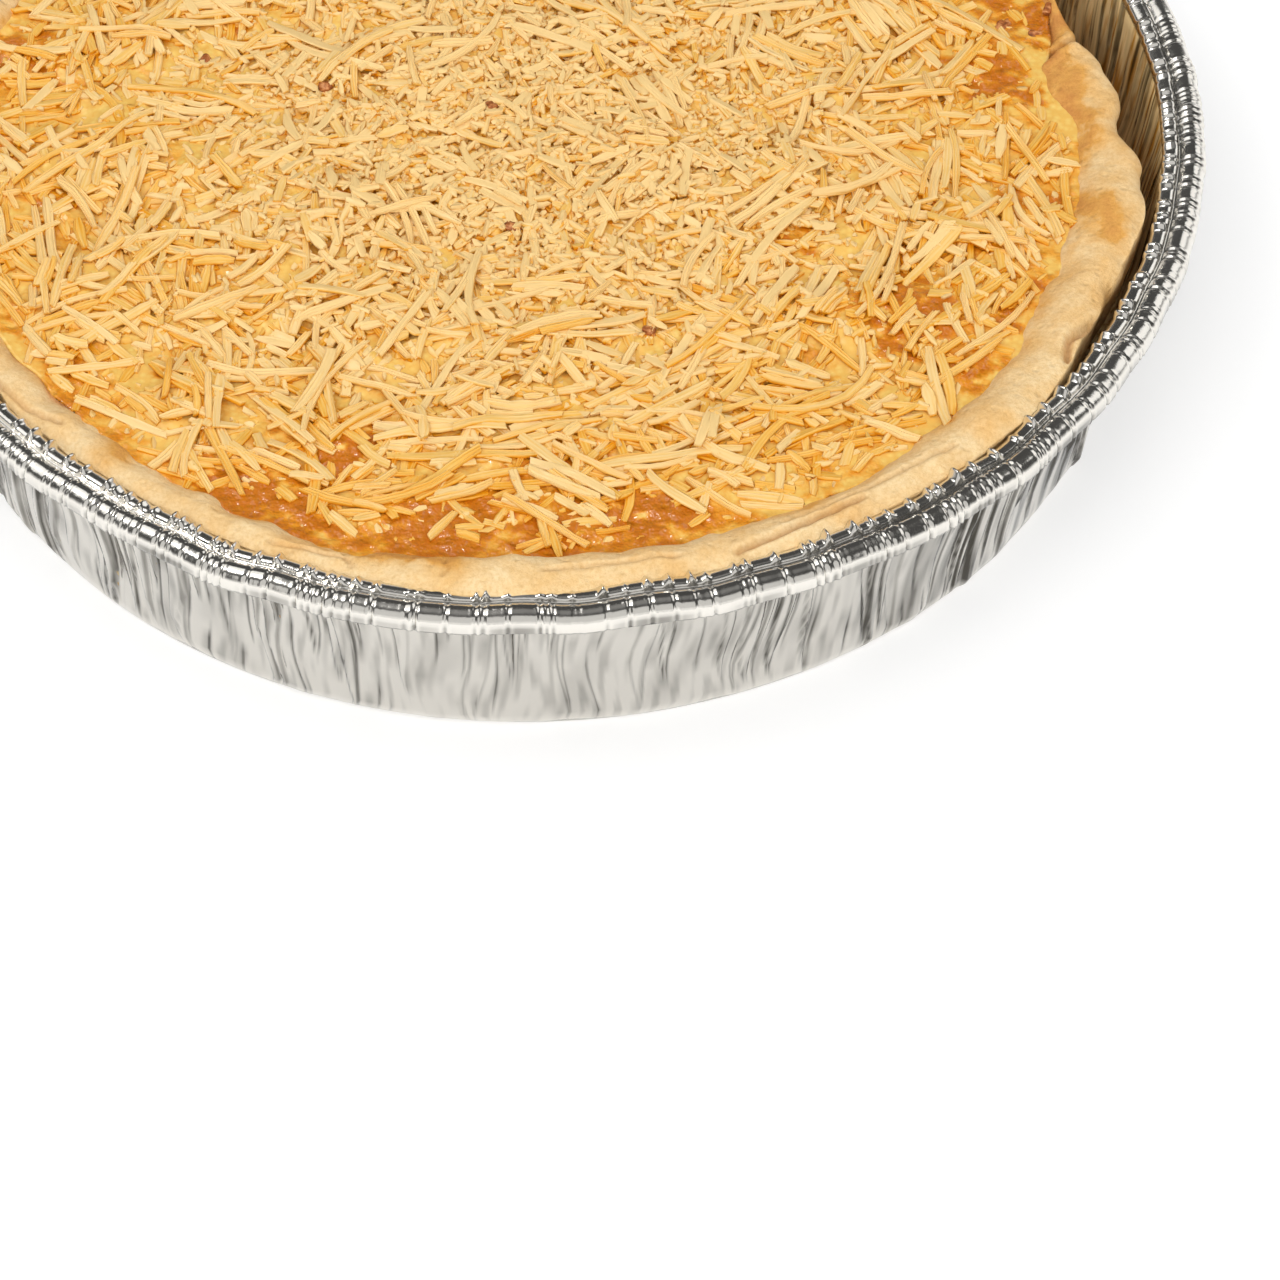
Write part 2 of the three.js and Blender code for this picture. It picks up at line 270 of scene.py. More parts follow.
# At the front the pastry lies over the inner bead, so only its outer edge carries fins.
hidden = swells(bearing, [(LAP_AT, LAP_SPAN, 1)]) * np.clip((139.3 - radii[row]) / 0.5, 0, 1)
on_inner = on_inner * (1 - hidden)
on_outer = over * np.clip((radii[row] - 140.2) / 1, 0, 1)
around_rim = np.degrees(round_trip / WALL_MID_R)
fins = fins * (1 - 0.4 * np.exp(-((turned_by(around_rim, 0) / 50) ** 2)))
height = height + fins[step] * on_inner * 0.95
radius = radius - fins[step] * on_inner * 0.25
steepness = np.clip((radii[row] - 141) / 4, 0, 1)
bead = (0.28 * pillows[step] - 0.36 * pinches[step]) * on_outer
height = height + bead * (1 - 0.8 * steepness) * np.clip((heights[row] - 46.6) / 1.5, 0, 1)
radius = radius + bead * steepness
wander = waves(np.stack([round_trip[step], 0 * radius, 0 * radius], 1), 19, 7)
height = height + 0.22 * wander * over
radius = radius + swells(bearing, out_of_round) + 0.2 * np.roll(wander, 40) * over
settle(rim, radius, height, bearing)
on_lip = (radii[row] > 144.4) * np.clip((49 - heights[row]) / 1.2, 0, 1)
stamp(rim, "inside", 0 * radius)
# Painted shade along the lip, deeper at the pinches.
stamp(rim, "tuck", on_lip * np.clip(0.28 + 0.3 * wander + 0.5 * pinches[step], 0, 0.8))


def linear(code):
    """An sRGB hex colour as the linear colour that a shader takes."""
    parts = [int(code[i : i + 2], 16) / 255 for i in (1, 3, 5)]
    return (*[c / 12.92 if c <= 0.04045 else ((c + 0.055) / 1.055) ** 2.4 for c in parts], 1)


def cells(size):
    """The scale of a pattern on Object coordinates, from the size of its grain in millimetres."""
    return 1 / (size * MM)


def add(tree, kind, settings=None, links=None):
    """Adds one shader node with its settings and its inputs, each a value or another's output.
    A colour ramp's setting is a list of (place, hex colour or grey)."""
    node = tree.nodes.new(kind)
    for name, value in (settings or {}).items():
        if name == "ramp":
            stops = node.color_ramp.elements
            while len(stops) < len(value):
                stops.new(0.5)
            for stop, (at, colour) in zip(stops, value):
                stop.position = at
                grey = (colour, colour, colour, 1)
                stop.color = linear(colour) if isinstance(colour, str) else grey
        else:
            setattr(node, name, value)
    for name, value in (links or {}).items():
        if isinstance(value, bpy.types.NodeSocket):
            tree.links.new(value, node.inputs[name])
        else:
            node.inputs[name].default_value = value
    return node


def surface(name, **settings):
    """A new material with its settings on the shader's own sockets. Returns it with its nodes."""
    material = bpy.data.materials.new(name)
    material.use_nodes = True
    tree = material.node_tree
    shader = tree.nodes["Principled BSDF"]
    for socket, value in settings.items():
        shader.inputs[socket.replace("_", " ")].default_value = value
    return material, tree, shader


# Bright rolled aluminium: a mirror with a soft edge. Painted shade darkens its colour in the pleats
# and creases of the wall, on the lip and in streaks over the right of the wall. A film of baked
# butter has turned the inside golden, deep enough to stand in also as a painted reflection of the
# crust. Its rolling lines are too fine to show, so they are drawn coarser.
FOIL_GRAIN = {"drip": 2.38, "smear": 11.1, "rolling line": 1.11}  # in mm
material, tree, shader = surface("rolled aluminium foil")
where = add(tree, "ShaderNodeTexCoord").outputs["Object"]
on_inside = add(tree, "ShaderNodeAttribute", {"attribute_name": "inside"})
runs = add(tree, "ShaderNodeMapping", {}, {"Vector": where, "Scale": (1, 1, 0.04)})
drips = add(
    tree, "ShaderNodeTexNoise", {},
    {"Vector": runs.outputs["Vector"], "Scale": cells(FOIL_GRAIN["drip"]), "Detail": 3},
)
# Butter film and painted reflection of the crust, on the inside of the wall.
butter_and_reflection = add(
    tree, "ShaderNodeValToRGB", {"ramp": [(0.36, DRIP_COLOUR), (0.54, BUTTER_AND_REFLECTION_COLOUR)]},
    {"Fac": drips.outputs["Fac"]},
)
tint = add(
    tree, "ShaderNodeMixRGB", {},
    {"Fac": on_inside.outputs["Fac"], "Color1": linear(FOIL_COLOUR), "Color2": butter_and_reflection.outputs["Color"]},
)
smear = add(
    tree, "ShaderNodeTexNoise", {},
    {"Vector": where, "Scale": cells(FOIL_GRAIN["smear"]), "Detail": 2},
)
dull = add(
    tree, "ShaderNodeMapRange", {},
    {"Value": smear.outputs["Fac"], "To Min": 0.1, "To Max": 0.26},
)
tree.links.new(dull.outputs["Result"], shader.inputs["Roughness"])
bare = add(
    tree, "ShaderNodeMapRange", {},
    {"Value": on_inside.outputs["Fac"], "To Min": 1, "To Max": 0.08},
)
tree.links.new(bare.outputs["Result"], shader.inputs["Metallic"])
# Painted shade: the colour is darkened towards a dark grey where the wall and lip carry it.
painted_shade_attribute = add(tree, "ShaderNodeAttribute", {"attribute_name": "tuck"})
greyed = add(
    tree, "ShaderNodeMixRGB", {"blend_type": "MULTIPLY"},
    {"Fac": painted_shade_attribute.outputs["Fac"], "Color1": tint.outputs["Color"], "Color2": linear(PAINTED_SHADE_COLOUR)},
)
tree.links.new(greyed.outputs["Color"], shader.inputs["Base Color"])
upright = add(tree, "ShaderNodeMapping", {}, {"Vector": where, "Scale": (1, 1, 0.05)})
rolled = add(
    tree, "ShaderNodeTexNoise", {},
    {"Vector": upright.outputs["Vector"], "Scale": cells(FOIL_GRAIN["rolling line"]), "Detail": 2,
     "Distortion": 0.5},
)
bump = add(
    tree, "ShaderNodeBump", {},
    {"Height": rolled.outputs["Fac"], "Strength": 0.35, "Distance": 0.1 * MM},
)
tree.links.new(bump.outputs["Normal"], shader.inputs["Normal"])
for piece in (wall, rim):
    piece.data.materials.append(material)
    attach(piece, "root")
    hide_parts("foil_pan")


# ---- Pastry crust ----------------------------------------------------------------------------
# A case of shortcrust pastry, rolled out, laid in the pan and folded over by hand at its edge.
# It shrank as it baked, so it touches the pan at the front and stands clear of it behind, and it
# has one crack, at the right. It is pale and floury, and golden where egg has glazed it.
CASE_BASE_AT, CASE_BASE_R = (-1.5, -4), 122.5
CASE_RIM_AT, CASE_RIM_R = (-2.5, -6.5), 130
CUSTARD_AT, CUSTARD_R = (-2.4, -7), 119.3
CASE_FLOOR = 6
CASE_TOP_Z = 50.4
CUSTARD_EDGE_Z = 47.2
RIM_LIMIT_R = 135.9
# The last of these is painted shade for the folds and the crack.
PASTRY_COLOURS = {
    "floury": "#F3D6A4", "baked": "#EDC281", "golden": "#E3A852", "browned": "#D08E44",
    "painted_crease_shade": "#A8743C",
}

EDGE_SWELLS = [  # bearing, width in degrees, swelling in mm of the outer edge
    (-62, 14, 1), (-37, 13, 3.6), (-29, 2.2, -0.8), (-13, 11, 5), (-1, 2.2, -2.2), (18, 9, -2.7),
    (3.5, 3, 0.9), (-6.5, 2.6, 1.4), (-9.3, 1, -0.7), (-12.5, 2.4, 0.8), (-135, 3.2, -1.6),
    (-145, 3, -1), (11.5, 0.8, -1.2), (36, 7, 0.8), (49, 6, -0.9), (62, 9, 1.2), (75, 4, 0.6),
    (84, 7, -1.1), (104, 10, 1.4), (118, 4, -0.8), (131, 8, -1.3), (158, 10, 1.3), (172, 4, -0.9),
    (-7.6, 1, -1.1), (-23, 1.6, -1.6),
]
CREST_SWELLS = [
    (-92, 6, 0.8), (-38, 12, 0.7), (-12, 8, 0.8), (-1, 2.5, -0.8), (8, 4, 0.7), (14.5, 3, -1.8),
    (34, 12, -1), (75, 12, 0.8), (120, 15, -0.8), (165, 12, 0.9), (-139, 5, -1.2), (-104, 4, -0.8),
    (-96, 2, -0.5),
]
# At the front it has slid on over the inner bead of the foil, by as many millimetres.
LAPPED = [(LAP_AT, LAP_SPAN, 3.6), (-50, 16, 1.6)]
INNER_SWELLS = [
    (-106, 6, 2.6), (-60, 12, 1), (-40, 10, 2), (-8, 8, 1.6), (7, 5, -3), (22, 8, 5), (-136, 8, -1),
    (48, 6, -1.2), (66, 9, 1.6), (92, 7, -1.5), (115, 10, 1.5), (140, 8, -1), (170, 10, 1.5),
]


def reach(centre, radius, bearing):
    """The distance from the axis to a circle about a centre, along each bearing."""
    x, y = centre
    c, s = np.cos(np.radians(bearing)), np.sin(np.radians(bearing))
    return x * c + y * s + np.sqrt(radius**2 - (y * c - x * s) ** 2)


def case_edge(bearing):
    """The outer edge of the pastry, which the foil stops."""
    free = reach(CASE_RIM_AT, CASE_RIM_R, bearing) + swells(bearing, EDGE_SWELLS)
    return np.minimum(free, RIM_LIMIT_R)


def custard_edge(bearing):
    """The ragged line where the custard meets the pastry."""
    turns = np.radians(bearing)
    ragged = 0.35 * np.sin(19 * turns + 1) + 0.3 * np.sin(34 * turns + 2.2)
    ragged = ragged + 0.3 * np.sin(61 * turns)
    return reach(CUSTARD_AT, CUSTARD_R, bearing) + swells(bearing, INNER_SWELLS) + ragged


def crease(bearing, radius, line):
    """The distance in millimetres from each point to a broken line of (bearing, radius)."""
    angle = np.radians(bearing)
    x, y = radius * np.cos(angle), radius * np.sin(angle)
    nearest = np.full(len(x), 1e9)
    corners = [(r * math.cos(math.radians(b)), r * math.sin(math.radians(b))) for b, r in line]
    for (ax, ay), (bx, by) in zip(corners, corners[1:]):
        long = (bx - ax) ** 2 + (by - ay) ** 2
        t = np.clip(((x - ax) * (bx - ax) + (y - ay) * (by - ay)) / long, 0, 1)
        nearest = np.minimum(nearest, np.hypot(x - ax - t * (bx - ax), y - ay - t * (by - ay)))
    return nearest


CREASES = [  # depth and width in mm, then the line
    (2.4, 0.8, [(14, 127), (12.3, 122), (11.5, 117), (10.2, 111.5)]),
    (1.1, 0.6, [(-71, 134.2), (-66.3, 132.8), (-62, 131.6), (-58.5, 131.8)]),
    (0.6, 0.5, [(-66, 130.2), (-60, 129.2), (-54, 130.6), (-48, 132)]),
    (1.5, 0.7, [(-25.5, 136.5), (-28.2, 133.2), (-30.8, 131.6), (-33, 134)]),
    (0.6, 0.4, [(-105.8, 131), (-105.2, 133), (-104.3, 135)]),
    (0.7, 0.4, [(-96.7, 130), (-96.2, 132.6), (-96.4, 135)]),
    (0.5, 0.4, [(-112, 134), (-108, 133), (-105, 133.4)]),
    (0.7, 0.5, [(-136, 131), (-140, 133.4), (-144, 134)]),
    (0.5, 0.4, [(-88, 133), (-82, 131.8), (-76, 132.5)]),
    (0.9, 0.5, [(40, 117), (48, 118.4), (55, 117)]),
    (1.1, 0.6, [(96, 116), (97, 119), (95.5, 123)]),
    (0.8, 0.5, [(140, 124), (148, 123), (156, 125.5)]),
    (0.9, 0.5, [(-176, 126), (-170, 128), (-163, 127)]),
]
CRUST_STEPS = 1000
crust_rows = np.concatenate([
    [0, 1, 2, 2.5, 3, 3.5], np.linspace(4, 6, 9), np.linspace(6.15, 11, 38), [12, 13, 14, 15],
])
blank = [
    (0, 1), (115, 1), (120, 2), (123, 6), (127, 24), (129, 40), (130, 46), (129, 49), (127, 50),
    (124, 50), (121, 48), (118, 45), (116, 40), (113, 12), (109, 7), (0, 7),
]
radii, heights = through(blank, crust_rows)
crust, row, bearing = turn("pastry_case", radii, heights, CRUST_STEPS)
foot = reach(CASE_BASE_AT, CASE_BASE_R, bearing)
edge = case_edge(bearing)
inside = custard_edge(bearing)
lap = swells(bearing, LAPPED)
crest = CASE_TOP_Z + swells(bearing, CREST_SWELLS) + 0.2 * lap
band = edge - inside
snug = np.clip((edge - 132.5) / 2.6, 0, 1)  # it lies flat against the foil wherever it touches it
drop = 3.4 - 2.7 * snug
section = [
    (0 * edge, 1), (foot - 8, 1), (foot - 1.6, 1.9), (foot, 6),
    (foot + 0.5 * (edge - foot), 24), (foot + 0.9 * (edge - foot), 40),
    (edge, crest - drop - 0.9 * snug), (edge - 0.06 * band, crest - 0.3 * drop - 0.4 * snug),
    (edge - 0.26 * band, crest), (edge - 0.56 * band, crest - 0.3),
    (inside + 0.16 * band, crest - 2), (inside - 1.5, CUSTARD_EDGE_Z - 1.6),
    (inside - 4, 40), (foot - 8.5, 12), (foot - 12, 1 + CASE_FLOOR), (0 * edge, 1 + CASE_FLOOR),
]
along = crust_rows[row]  # the place of each vertex in the section
radius, height = through(section, along)
angle = np.radians(bearing)
place = np.stack([radius * np.cos(angle), radius * np.sin(angle), height], 1)
on_top = np.clip((along - 5.2) / 1.2, 0, 1) * np.clip((11.2 - along) / 0.8, 0, 1)
outside = np.clip((along - 3.2) / 1, 0, 1) * np.clip((8.2 - along) / 1.5, 0, 1)
lumps = waves(place, 24, 11) * 0.4 + waves(place, 9, 12) * 0.24 + waves(place, 3.6, 13) * 0.12
height = height + lumps * on_top
dents = waves(place, 16, 14) * 0.5 + waves(place, 6, 15) * 0.2 - 0.3
radius = radius + dents * (1 - 0.8 * snug) * outside
radius = radius + lap * np.clip((along - 5.3) / 0.7, 0, 1) * np.clip((8.6 - along) / 2.2, 0, 1)
hollow = np.zeros(len(radius))
for depth, wide, line in CREASES:
    gap = crease(bearing, radius, line)
    cut = np.exp(-((gap / wide) ** 2))
    lifted = np.exp(-(((gap - 2.6 * wide) / (1.6 * wide)) ** 2))
    height = height - on_top * depth * cut + on_top * 0.35 * depth * lifted
    hollow = np.maximum(hollow, cut * on_top * min(depth, 1))
within = wall_reach(bearing, height) - FOIL - 0.75 + lap * np.clip(height - 47.5, 0, 1)
radius = np.minimum(radius, within)
limit = RIM_LIMIT_R + swells(bearing, out_of_round) + lap
radius = np.minimum(radius, limit)
# Where it lies against the foil, its top slopes down to the bead.
slope = 49 + 0.7 * (limit - radius) + 0.5 * lap
height = np.where(along > 5.5, -np.logaddexp(-2.5 * height, -2.5 * slope) / 2.5, height)
radius[(along == 0) | (along == crust_rows[-1])] = 0
place = settle(crust, radius, height, bearing)


def spots(place, marks):
    """The sum of soft round spots, each (x, y, spread in mm, strength)."""
    x, y = place[:, 0], place[:, 1]
    return sum(s * np.exp(-((x - px) ** 2 + (y - py) ** 2) / wide**2) for px, py, wide, s in marks)


# Egg ran over the inner edge here, or the pastry rose nearer to the heat.
GOLDEN = [  # x, y, spread in mm, strength
    (-29, -125.5, 4, 1.6), (-22, -126, 4.5, 1.8), (-16, -127, 4, 1.5), (115, 20, 5, 1.2),
    (116.5, 10, 5, 1.4), (118, 1, 4.5, 1.1), (119, -5, 4, 0.9), (122, -27, 4, 0.8),
    (123, -35, 4.5, 0.7), (117, 34, 7, 1.5), (108, 42, 7, 1.3), (-12, -132, 4, 0.45),
    (66, -116, 6, 0.5), (93, -92, 6, 0.5), (-84, -100, 5, 0.6), (-45, -126, 5, 0.4),
    (30, -129, 5, 0.4), (80, 82, 9, 1.2), (30, 108, 10, 1.1), (-40, 104, 9, 1.3), (-95, 68, 9, 1.2),
    (-118, 22, 8, 1.4), (-126, -20, 6, 1), (-112, -66, 5, 0.8), (125, -6, 22, 0.4),
    (119, -50, 24, 0.4),
]
golden = spots(place, GOLDEN)
rim_line = np.clip((custard_edge(bearing) + 4.2 - radius) / 4.2, 0, 1)
rim_line = rim_line * (0.55 + 0.45 * waves(place, 12, 16))
stamp(crust, "golden", np.clip(golden + 0.85 * rim_line * on_top, 0, 1.6))
# How deep in a fold or the crack each vertex lies, for the painted shade there.
stamp(crust, "hollow", hollow)

# Baked shortcrust: matt and pale, with clouds of flour, open pores and a sandy grain, darkened as
# painted shade in its folds and crack. The real grain is about half a millimetre, too fine to show,
# so it is drawn at twice that.
PASTRY_GRAIN = {"cloud": 10.5, "speck": 6.67, "flour": 0.909, "sand": 1.11, "pore": 3.03}  # in mm
material, tree, shader = surface("baked shortcrust pastry", Roughness=0.72, IOR=1.45)
where = add(tree, "ShaderNodeTexCoord").outputs["Object"]
cloud = add(
    tree, "ShaderNodeTexNoise", {},
    {"Vector": where, "Scale": cells(PASTRY_GRAIN["cloud"]), "Detail": 4, "Roughness": 0.6},
)
base = add(
    tree, "ShaderNodeValToRGB",
    {"ramp": [(0.34, PASTRY_COLOURS["baked"]), (0.66, PASTRY_COLOURS["floury"])]},
    {"Fac": cloud.outputs["Fac"]},
)
gold = add(tree, "ShaderNodeAttribute", {"attribute_name": "golden"})
speck = add(
    tree, "ShaderNodeTexNoise", {},
    {"Vector": where, "Scale": cells(PASTRY_GRAIN["speck"]), "Detail": 4, "Roughness": 0.6},
)
patchy = add(
    tree, "ShaderNodeMath", {"operation": "MULTIPLY_ADD", "use_clamp": True},
    {0: speck.outputs["Fac"], 1: 1.8, 2: -0.4},
)
amount = add(
    tree, "ShaderNodeMath", {"operation": "MULTIPLY"},
    {0: gold.outputs["Fac"], 1: patchy.outputs[0]},
)
ageing = add(
    tree, "ShaderNodeValToRGB",
    {"ramp": [(0.0, PASTRY_COLOURS["baked"]), (0.45, PASTRY_COLOURS["golden"]),
              (1.0, PASTRY_COLOURS["browned"])]},
    {"Fac": amount.outputs[0]},
)
share = add(
    tree, "ShaderNodeMapRange", {},
    {"Value": amount.outputs[0], "From Min": 0.05, "From Max": 0.5},
)
toned = add(
    tree, "ShaderNodeMixRGB", {},
    {"Fac": share.outputs["Result"], "Color1": base.outputs["Color"],
     "Color2": ageing.outputs["Color"]},
)
# Painted shade: folds and the crack are darkened towards brown by their depth.
cut = add(tree, "ShaderNodeAttribute", {"attribute_name": "hollow"})
shade = add(tree, "ShaderNodeMath", {"operation": "MULTIPLY"}, {0: cut.outputs["Fac"], 1: 0.6})
painted_crease_shade = add(
    tree, "ShaderNodeMixRGB", {},
    {"Fac": shade.outputs[0], "Color1": toned.outputs["Color"],
     "Color2": linear(PASTRY_COLOURS["painted_crease_shade"])},
)
flour = add(
    tree, "ShaderNodeTexNoise", {},
    {"Vector": where, "Scale": cells(PASTRY_GRAIN["flour"]), "Detail": 4, "Roughness": 0.7},
)
dusted = add(
    tree, "ShaderNodeValToRGB", {"ramp": [(0.34, "#F3EBDD"), (0.58, "#FFFFFF")]},
    {"Fac": flour.outputs["Fac"]},
)
speckled = add(
    tree, "ShaderNodeMixRGB", {"blend_type": "MULTIPLY"},
    {"Fac": 1, "Color1": painted_crease_shade.outputs["Color"], "Color2": dusted.outputs["Color"]},
)
tree.links.new(speckled.outputs["Color"], shader.inputs["Base Color"])
grain = add(
    tree, "ShaderNodeTexNoise", {},
    {"Vector": where, "Scale": cells(PASTRY_GRAIN["sand"]), "Detail": 4, "Roughness": 0.7},
)
pores = add(
    tree, "ShaderNodeTexVoronoi", {}, {"Vector": where, "Scale": cells(PASTRY_GRAIN["pore"])},
)
pit = add(tree, "ShaderNodeMapRange", {}, {"Value": pores.outputs["Distance"], "From Max": 0.3})
fine = add(
    tree, "ShaderNodeBump", {},
    {"Height": grain.outputs["Fac"], "Strength": 0.5, "Distance": 0.8 * MM},
)
bump = add(
    tree, "ShaderNodeBump", {},
    {"Height": pit.outputs["Result"], "Strength": 0.5, "Distance": 0.6 * MM,
     "Normal": fine.outputs["Normal"]},
)
tree.links.new(bump.outputs["Normal"], shader.inputs["Normal"])
crust.data.materials.append(material)
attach(crust, "root")
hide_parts("pastry_crust")


# ---- Custard ---------------------------------------------------------------------------------
# Egg and cream poured into the case and baked until it puffed, sank again and browned where it
# stood highest. It is moist and glossy, with small bubbles under a thin skin.
CUSTARD_DOME = 1.2
CUSTARD_COLOURS = {"yellow": "#F2CD72", "deep": "#EDB34B", "amber": "#E2951E", "brown": "#CA7810"}
BROWNED = [  # x, y, spread in mm, strength
    (-113, 25, 10, 0.9), (-105, 10, 7, 0.5), (-112, -5, 6, 0.5), (-107, -60, 5, 0.5),
    (-83, 20, 5, 0.9), (-66, 33, 6, 0.9), (-36, -94, 7, 1.2), (-50, -108, 8, 0.7),
    (-40, -116, 8, 0.9), (-16, -117, 11, 1), (8, -116, 8, 1), (26, -113, 8, 1.2), (0, -105, 5, 0.8),
    (13, -100, 6, 0.9), (57, -36, 5, 1), (80, -54, 7, 0.9), (95, -74, 6, 1), (100, -60, 5, 0.9),
    (74, -66, 4, 0.5), (102, 14, 7, 1), (94, 23, 7, 1), (110, 8, 4, 0.8), (103, -20, 4, 0.9),
    (112, -24, 3, 1), (61, 5, 5, 0.9), (112, 32, 6, 1.1), (116, 26, 3, 0.8), (104, 40, 8, 0.9),
    (97, 50, 8, 0.7), (112, 12, 3, 0.6), (-60, 85, 9, 0.9), (-60, -108, 7, 1.1),
    (-66, -102, 6, 0.8), (-38, -99, 7, 1), (81, -55, 8, 1), (64, -52, 6, 0.7), (79, -66, 7, 0.8),
    (106, -50, 5, 0.7), (10, 98, 8, 0.9), (70, 75, 8, 0.9), (-20, 60, 6, 0.7), (-98, 50, 8, 0.9),
    (-75, -75, 5, 0.6), (40, 40, 5, 0.7),
]
CUSTARD_STEPS = 640
SKIN_R, SKIN_RINGS = 120.3, 140  # the skin, as round rings, then fitted to the custard's edge
below = [(0, 7.4), (60, 7.4), (108, 7.4), (112, 9), (114, 16), (118, 40), (119.5, 45.5)]
below_r, below_z = zip(*below)
rings = np.concatenate([below_r, np.linspace(SKIN_R, 0, SKIN_RINGS)])
levels = np.concatenate([below_z, np.full(SKIN_RINGS, CUSTARD_EDGE_Z)])
custard, row, bearing = turn("baked_custard", rings, levels, CUSTARD_STEPS)
top = row >= len(below)
share = np.where(top, rings[row] / SKIN_R, 1)
border = custard_edge(bearing) + 1.4
floor_r = reach(CASE_BASE_AT, 114, bearing)
side = floor_r + (border - 1.8 - floor_r) * (levels[row] / 46)
radius = np.where(top, share * border, rings[row] / below_r[-1] * side)
angle = np.radians(bearing)
flat = np.stack([radius * np.cos(angle), radius * np.sin(angle), 0 * radius], 1)


def custard_relief(flat, share):
    """The rise of the custard's skin at points in its plane, in millimetres."""
    puffs = waves(flat, 46, 31) * 0.75 + waves(flat, 19, 32) * 0.5 + waves(flat, 8, 33) * 0.28
    blisters = np.clip(waves(flat, 5, 34), 0, 2) ** 2 * 0.24 + waves(flat, 2.6, 35) * 0.13
    return CUSTARD_DOME * (1 - share**2) + (puffs + blisters) * (1 - share**10)


height = np.where(top, levels[row] + custard_relief(flat, share), levels[row])
height += np.where(top, 0.5 * np.clip(share - 0.97, 0, 1) / 0.03, 0)
radius[rings[row] < 1e-6] = 0
custard_place = settle(custard, radius, height, bearing)
brown = spots(custard_place, BROWNED)
patches = waves(flat, 30, 36) * 0.35 + waves(flat, 11, 37) * 0.3 + waves(flat, 4, 38) * 0.18
front = np.exp(-((turned_by(bearing, -93) / 30) ** 2))
ring = np.clip((share - 0.84) / 0.1, 0, 1) * (0.08 + 0.3 * front)
brown = brown * (0.8 + 0.6 * waves(flat, 5, 39)) + 0.62 * patches + ring - 0.06
brown = np.clip(brown + 0.16 * np.clip((share - 0.55) / 0.35, 0, 1), 0, 1.4) / 1.4
brown = np.clip(1.1 * brown, 0, 1)
brown = brown**2 * (3 - 2 * brown)
# Browning; painted shade under the cheese is added to it further on.
stamp(custard, "brown", brown)

# Baked egg custard: a moist skin, so a soft gloss over yellow that browns in patches, with burst
# bubbles where it is brown. Under the cheese it is also deepened as painted shade.
CUSTARD_GRAIN = {"mottle": 2.38, "froth": 1.56, "wet": 5, "skin": 2.38, "bubble": 2.78}  # in mm
material, tree, shader = surface(
    "baked egg custard", IOR=1.36, Coat_Weight=0.7, Coat_Roughness=0.07,
)
where = add(tree, "ShaderNodeTexCoord").outputs["Object"]
brown_and_shade_node = add(tree, "ShaderNodeAttribute", {"attribute_name": "brown"})
mottle = add(
    tree, "ShaderNodeTexNoise", {},
    {"Vector": where, "Scale": cells(CUSTARD_GRAIN["mottle"]), "Detail": 5, "Roughness": 0.65},
)
uneven = add(
    tree, "ShaderNodeMapRange", {},
    {"Value": mottle.outputs["Fac"], "To Min": -0.42, "To Max": 0.42},
)
mixed = add(
    tree, "ShaderNodeMath", {"operation": "ADD"},
    {0: brown_and_shade_node.outputs["Fac"], 1: uneven.outputs["Result"]},
)
tone = add(
    tree, "ShaderNodeValToRGB",
    {"ramp": [(0.05, CUSTARD_COLOURS["yellow"]), (0.25, CUSTARD_COLOURS["deep"]),
              (0.5, CUSTARD_COLOURS["amber"]), (0.85, CUSTARD_COLOURS["brown"])]},
    {"Fac": mixed.outputs[0]},
)
froth = add(
    tree, "ShaderNodeTexVoronoi", {}, {"Vector": where, "Scale": cells(CUSTARD_GRAIN["froth"])},
)
crater = add(
    tree, "ShaderNodeValToRGB", {"ramp": [(0.1, "#FFFFFF"), (0.6, "#FAEBD2")]},
    {"Fac": froth.outputs["Distance"]},
)
frothy = add(
    tree, "ShaderNodeMixRGB", {"blend_type": "MULTIPLY"},
    {"Fac": 1, "Color1": tone.outputs["Color"], "Color2": crater.outputs["Color"]},
)
tree.links.new(frothy.outputs["Color"], shader.inputs["Base Color"])
wet = add(
    tree, "ShaderNodeTexNoise", {},
    {"Vector": where, "Scale": cells(CUSTARD_GRAIN["wet"]), "Detail": 2},
)
gloss = add(
    tree, "ShaderNodeMapRange", {},
    {"Value": wet.outputs["Fac"], "To Min": 0.2, "To Max": 0.55},
)
tree.links.new(gloss.outputs["Result"], shader.inputs["Roughness"])
skin = add(
    tree, "ShaderNodeTexNoise", {},
    {"Vector": where, "Scale": cells(CUSTARD_GRAIN["skin"]), "Detail": 2, "Roughness": 0.5},
)
bubbles = add(
    tree, "ShaderNodeTexVoronoi", {"feature": "SMOOTH_F1"},
    {"Vector": where, "Scale": cells(CUSTARD_GRAIN["bubble"])},
)
crisp = add(
    tree, "ShaderNodeMapRange", {},
    {"Value": brown_and_shade_node.outputs["Fac"], "From Max": 0.4, "To Min": 0.15},
)
fine = add(
    tree, "ShaderNodeBump", {},
    {"Height": skin.outputs["Fac"], "Strength": crisp.outputs["Result"], "Distance": 1.2 * MM},
)
bump = add(
    tree, "ShaderNodeBump", {},
    {"Height": bubbles.outputs["Distance"], "Strength": crisp.outputs["Result"],
     "Distance": 1 * MM, "Normal": fine.outputs["Normal"]},
)
tree.links.new(bump.outputs["Normal"], shader.inputs["Normal"])
tree.links.new(bump.outputs["Normal"], shader.inputs["Coat Normal"])
custard.data.materials.append(material)
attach(custard, "root")
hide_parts("cheese_filling")


# ---- Grated cheese ---------------------------------------------------------------------------
# Hard cheese grated into flat strips, with the broken ends and crumbs that come with them, strewn
# by hand over the custard. Heat has softened it, so strips bend over what they lie on and stick.
# They are laid one by one, each on whatever is already there, and joined as four meshes.

